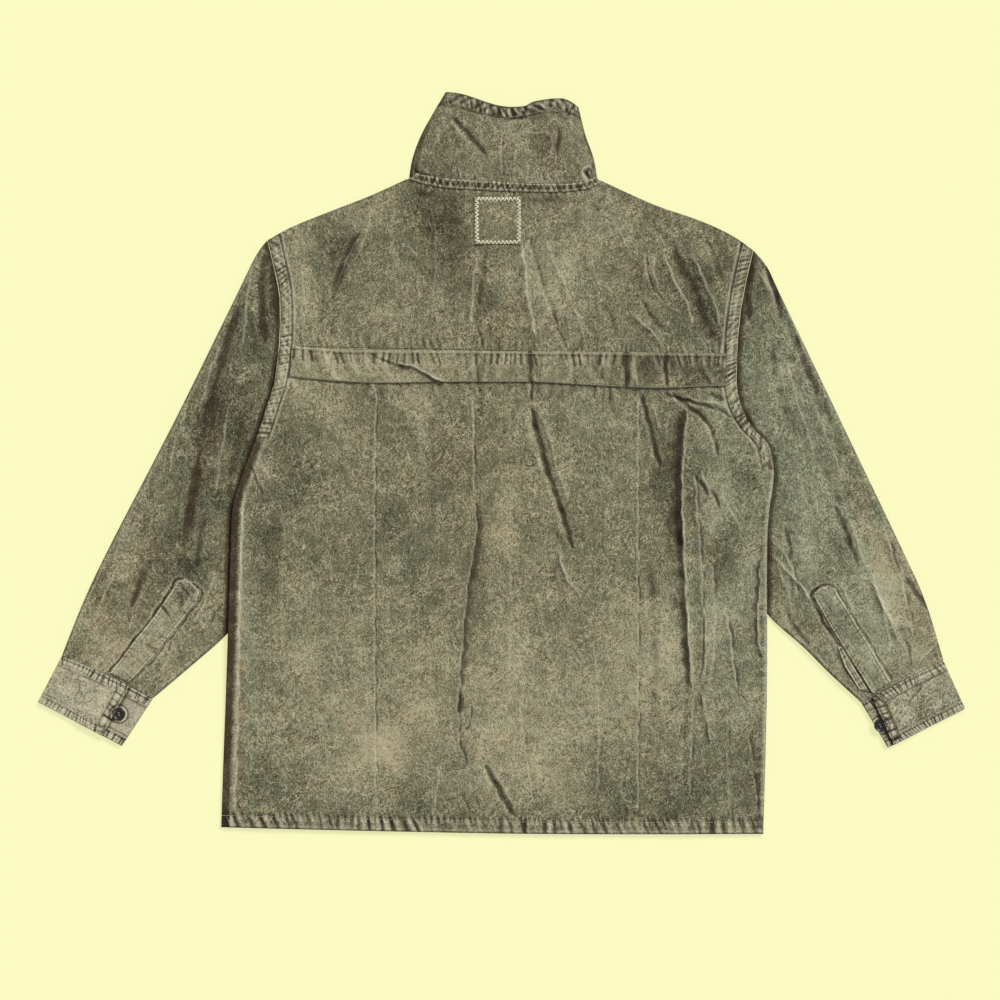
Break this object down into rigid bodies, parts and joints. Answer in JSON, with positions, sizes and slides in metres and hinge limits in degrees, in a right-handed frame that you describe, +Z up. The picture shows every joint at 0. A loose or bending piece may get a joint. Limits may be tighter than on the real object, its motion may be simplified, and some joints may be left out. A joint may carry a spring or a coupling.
{
  "type": "anorak smock",
  "caption": "Boxy overdyed cotton smock laid flat, back side up, with funnel collar, back yoke, sewn-on back strip, placketed sleeves and buttoned cuffs.",
  "frame": {"origin": "middle of the garment's outline, on the surface that it lies on", "axes": "+Z up out of the surface, +Y towards the collar, +X to the picture's right as seen from above"},
  "size_m": [1.095, 0.8763, 0.0103],
  "materials": {
    "shell_cloth": "garment-overdyed, washed-down olive cotton canvas, matt, with worn creases",
    "band_cloth": "the same cotton canvas, less dyed and evener",
    "cuff_cloth": "the same cotton canvas, the most worn and palest",
    "button": "moulded near-black four-hole button, half gloss"
  },
  "bodies": {
    "root": {"front_panel": "shell_cloth", "back_panel": "shell_cloth", "back_yoke": "shell_cloth", "back_band": "band_cloth", "collar": "shell_cloth", "neck_tape": "shell_cloth", "neck_patch": "band_cloth", "sleeve_left": "shell_cloth", "cuff_left": "cuff_cloth", "placket_left": "shell_cloth", "button_left": "button", "sleeve_right": "shell_cloth", "cuff_right": "cuff_cloth", "placket_right": "shell_cloth", "slit_binding_right": "shell_cloth", "button_right": "button"}
  },
  "joints": []
}
